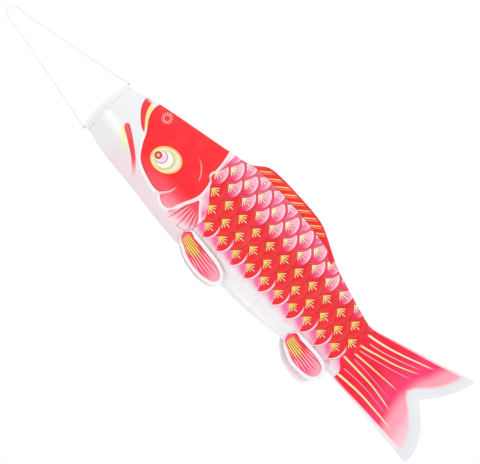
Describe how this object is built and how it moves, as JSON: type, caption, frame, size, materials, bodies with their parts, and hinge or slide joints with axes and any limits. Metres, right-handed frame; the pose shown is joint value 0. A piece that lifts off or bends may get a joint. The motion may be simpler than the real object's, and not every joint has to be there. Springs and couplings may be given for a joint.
{
  "type": "carp streamer",
  "caption": "Fish-shaped cloth wind streamer: printed tube of two sewn panels, round hooped mouth, string bridle, forked tail and free side fins.",
  "frame": {"origin": "the loop at the front of the string bridle, where the streamer hangs on its hook or line", "axes": "+X from the loop towards the tail, along the streamer as it flies level; +Z the back of the fish; -Y its left side"},
  "size_m": [1.3009, 0.1314, 0.2807],
  "materials": {
    "printed_cloth": "matte printed polyester",
    "hem_cloth": "matte white polyester",
    "fin_cloth": "matte printed polyester with a white border",
    "thread": "sewing thread",
    "bridle_string": "thin braided string",
    "hoop_plastic": "smooth white plastic rod",
    "ferrule_plastic": "plain plastic sleeve"
  },
  "bodies": {
    "bridle": {"bridle_cord": "bridle_string", "knot_upper": "bridle_string", "knot_lower": "bridle_string"},
    "head": {"mouth_hem": "hem_cloth", "mouth_hoop": "hoop_plastic", "hoop_ferrule": "ferrule_plastic", "head_panel_left": "printed_cloth", "head_panel_right": "printed_cloth", "head_back_seam": "thread", "head_belly_seam": "thread"},
    "fore_body": {"fore_panel_left": "printed_cloth", "fore_panel_right": "printed_cloth", "fore_back_seam": "thread", "fore_belly_seam": "thread", "pectoral_tack_left": "thread", "pectoral_tack_right": "thread"},
    "mid_body": {"mid_panel_left": "printed_cloth", "mid_panel_right": "printed_cloth", "mid_back_seam": "thread", "mid_belly_seam": "thread"},
    "rear_body": {"rear_panel_left": "printed_cloth", "rear_panel_right": "printed_cloth", "rear_back_seam": "thread", "rear_belly_seam": "thread", "pelvic_tack_left": "thread", "pelvic_tack_right": "thread"},
    "tail": {"tail_panel_left": "printed_cloth", "tail_panel_right": "printed_cloth", "tail_back_seam": "thread", "tail_belly_seam": "thread"},
    "pectoral_left": {"pectoral_fin_left": "fin_cloth"},
    "pectoral_right": {"pectoral_fin_right": "fin_cloth"},
    "pelvic_left": {"pelvic_fin_left": "fin_cloth"},
    "pelvic_right": {"pelvic_fin_right": "fin_cloth"}
  },
  "joints": [
    {"name": "mouth_swing", "type": "hinge", "parent": "bridle", "child": "head", "pos_m": [0.2993, 0, 0], "axis": [0, 0, 1], "range_deg": [-50, 50]},
    {"name": "neck_bend", "type": "hinge", "parent": "head", "child": "fore_body", "pos_m": [0.571, 0, 0], "axis": [0, 0, 1], "range_deg": [-20, 20]},
    {"name": "middle_bend", "type": "hinge", "parent": "fore_body", "child": "mid_body", "pos_m": [0.756, 0, 0], "axis": [0, 0, 1], "range_deg": [-20, 20]},
    {"name": "rear_bend", "type": "hinge", "parent": "mid_body", "child": "rear_body", "pos_m": [0.886, 0, 0], "axis": [0, 0, 1], "range_deg": [-25, 25]},
    {"name": "tail_sway", "type": "hinge", "parent": "rear_body", "child": "tail", "pos_m": [1.061, 0, 0], "axis": [0, 0, 1], "range_deg": [-35, 35]},
    {"name": "pectoral_flap_left", "type": "hinge", "parent": "fore_body", "child": "pectoral_left", "pos_m": [0.613, -0.03895, -0.06753], "axis": [0, 0, -1], "range_deg": [0, 70]},
    {"name": "pectoral_flap_right", "type": "hinge", "parent": "fore_body", "child": "pectoral_right", "pos_m": [0.613, 0.03895, -0.06753], "axis": [0, 0, 1], "range_deg": [0, 70]},
    {"name": "pelvic_flap_left", "type": "hinge", "parent": "rear_body", "child": "pelvic_left", "pos_m": [0.926, -0.02747, -0.06106], "axis": [0, 0, -1], "range_deg": [0, 70]},
    {"name": "pelvic_flap_right", "type": "hinge", "parent": "rear_body", "child": "pelvic_right", "pos_m": [0.926, 0.02747, -0.06106], "axis": [0, 0, 1], "range_deg": [0, 70]}
  ]
}
